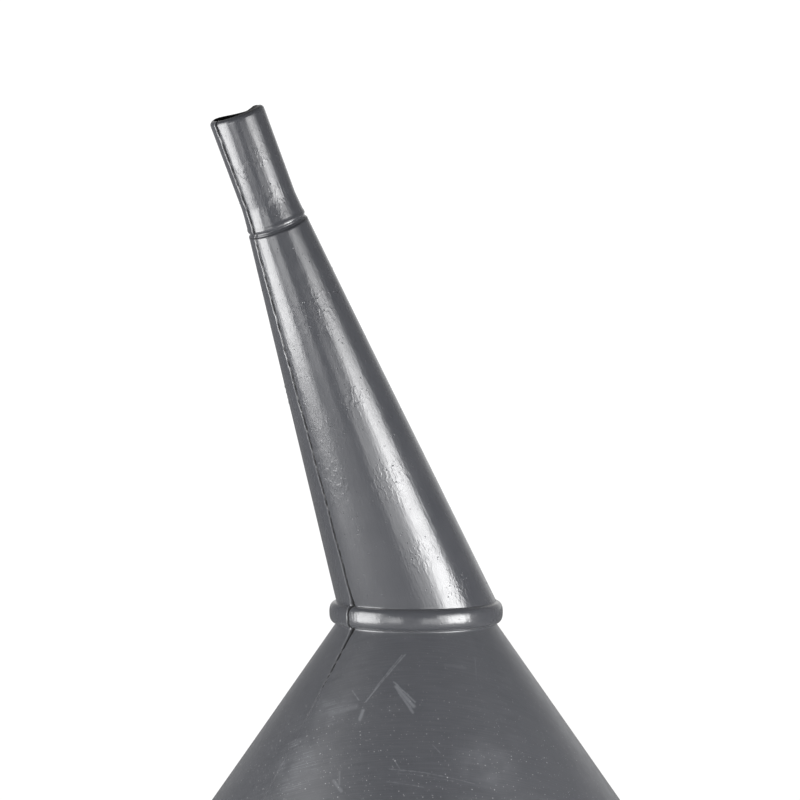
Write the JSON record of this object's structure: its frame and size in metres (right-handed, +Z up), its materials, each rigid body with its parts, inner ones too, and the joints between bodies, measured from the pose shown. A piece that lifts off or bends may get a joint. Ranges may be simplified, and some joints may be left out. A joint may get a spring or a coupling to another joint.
{
  "type": "slant-spout funnel",
  "caption": "Blow-moulded conical funnel with a beaded neck, a long tapered spout leaning to one side, and a lift-out wire-gauze strainer in the throat.",
  "frame": {"origin": "on the bowl's axis, in the plane that the mouth's flange rests on", "axes": "+Z up along the bowl's axis from the mouth to the neck; the spout leans towards -X in the XZ plane, which is also the mould's parting plane"},
  "size_m": [0.24, 0.24, 0.327],
  "materials": {
    "grey_moulding": "semi-matte polyethylene, as moulded, lightly scuffed",
    "black_moulding": "fine satin",
    "brass_wire": "drawn and woven",
    "steel_wire": "bright drawn"
  },
  "bodies": {
    "funnel": {"funnel_body": "grey_moulding"},
    "strainer": {"strainer_frame": "black_moulding", "strainer_gauze": "brass_wire", "strainer_retainer_ring": "black_moulding"},
    "bail": {"strainer_bail": "steel_wire"}
  },
  "joints": [
    {"name": "strainer_lift_out", "type": "slide", "parent": "funnel", "child": "strainer", "axis": [0, 0, -1], "range_m": [0, 0.165]},
    {"name": "bail_swing", "type": "hinge", "parent": "strainer", "child": "bail", "pos_m": [0, 0, 0.11677], "axis": [0, 1, 0], "range_deg": [-85, 85]}
  ]
}
